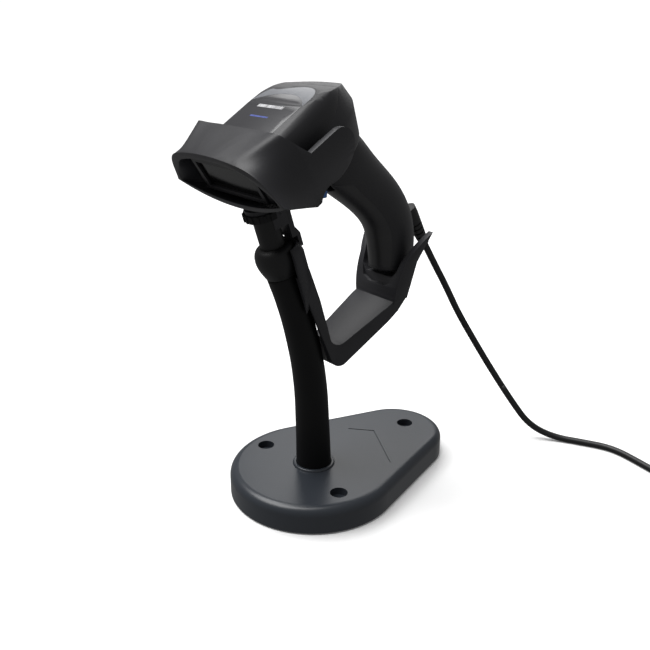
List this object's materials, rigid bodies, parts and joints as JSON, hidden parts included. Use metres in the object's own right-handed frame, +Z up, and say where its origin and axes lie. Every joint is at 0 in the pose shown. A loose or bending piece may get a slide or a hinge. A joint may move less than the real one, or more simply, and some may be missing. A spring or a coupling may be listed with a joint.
{
  "type": "handheld barcode scanner",
  "caption": "Handheld barcode scanner resting in a gooseneck desk stand: hooded cup, cranked arm, bendable neck on an egg-shaped weighted base, cord with a flat plug.",
  "frame": {"origin": "on the desk, under the middle of the neck's foot", "axes": "+Z up, the scanner's nose and the base's wide end towards -Y, +X to the scanner's left seen from its nose"},
  "size_m": [0.2644, 0.3634, 0.2699],
  "materials": {
    "stand_plastic": "satin",
    "stand_cover_plastic": "matte",
    "ballast_steel": "plain rolled",
    "foot_rubber": "matte",
    "neck_rubber": "smooth matte",
    "neck_plastic": "fine matte",
    "neck_steel": "zinc plated",
    "holder_plastic": "fine matte",
    "pad_rubber": "matte",
    "housing_plastic": "fine matte",
    "grip_plastic": "soft touch",
    "panel_plastic": "satin",
    "lens_plastic": "frosted",
    "window_acrylic": "polished",
    "trigger_plastic": "satin",
    "screw_steel": "black zinc",
    "board_laminate": "solder mask",
    "module_metal": "anodised",
    "led_plastic": "clear",
    "optic_glass": "coated",
    "spring_steel": "plain",
    "cord_jacket": "satin",
    "plug_shell": "nickel plated",
    "copper_gold": "plain"
  },
  "bodies": {
    "stand": {"base_shell": "stand_plastic", "ballast_plate": "ballast_steel", "bottom_cover": "stand_cover_plastic", "rubber_feet": "foot_rubber", "cover_screws": "screw_steel", "base_ring": "stand_plastic", "neck_foot": "neck_steel", "neck_washer": "neck_steel", "neck_nut": "neck_steel", "neck_sleeve": "neck_rubber", "gooseneck_core": "neck_steel", "cord_lower": "cord_jacket", "cord_coil": "cord_jacket", "coil_tie": "pad_rubber", "cord_plug": "cord_jacket", "plug_contact": "plug_shell"},
    "neck_head": {"neck_ferrule": "neck_plastic", "neck_stem": "neck_plastic"},
    "holder": {"holder_cup": "holder_plastic", "holder_arm": "holder_plastic", "socket_grip": "pad_rubber", "swivel_screws": "screw_steel", "tab_screws": "screw_steel", "cup_pads": "pad_rubber", "cord_middle": "cord_jacket"},
    "scanner": {"top_cover": "housing_plastic", "lower_housing": "housing_plastic", "handle_strip": "grip_plastic", "handle_cap": "housing_plastic", "label_panel": "panel_plastic", "indicator_lens": "lens_plastic", "nose_bezel": "housing_plastic", "scan_window": "window_acrylic", "window_gasket": "pad_rubber", "illumination_board": "board_laminate", "led_lenses": "led_plastic", "imager_module": "module_metal", "imager_lens": "optic_glass", "main_board": "board_laminate", "decoder_chip": "stand_cover_plastic", "beeper": "stand_cover_plastic", "indicator_led": "led_plastic", "flex_cable": "copper_gold", "trigger_pin": "neck_steel", "trigger_spring": "spring_steel", "trigger_switch": "stand_cover_plastic", "trigger_board": "board_laminate", "housing_screws": "screw_steel", "cord_socket": "stand_cover_plastic", "strain_relief": "cord_jacket", "cord_upper": "cord_jacket"},
    "trigger": {"trigger": "trigger_plastic"}
  },
  "joints": [
    {"name": "neck_bend", "type": "hinge", "parent": "stand", "child": "neck_head", "pos_m": [0, -0.0037, 0.087], "axis": [1, 0, 0], "range_deg": [-10, 12], "deforming": ["neck_sleeve", "gooseneck_core"]},
    {"name": "holder_swivel", "type": "hinge", "parent": "neck_head", "child": "holder", "pos_m": [0, -0.0247, 0.16], "axis": [0, -0.2924, 0.9563], "range_deg": [-15, 15]},
    {"name": "scanner_lift", "type": "slide", "parent": "holder", "child": "scanner", "axis": [0, 0.8387, 0.5446], "range_m": [0, 0.07]},
    {"name": "trigger_pull", "type": "hinge", "parent": "scanner", "child": "trigger", "pos_m": [0, -0.01126, 0.22249], "axis": [1, 0, 0], "range_deg": [0, 6], "stiffness_Nm_per_rad": 0.3, "springref_deg": -5.73}
  ]
}
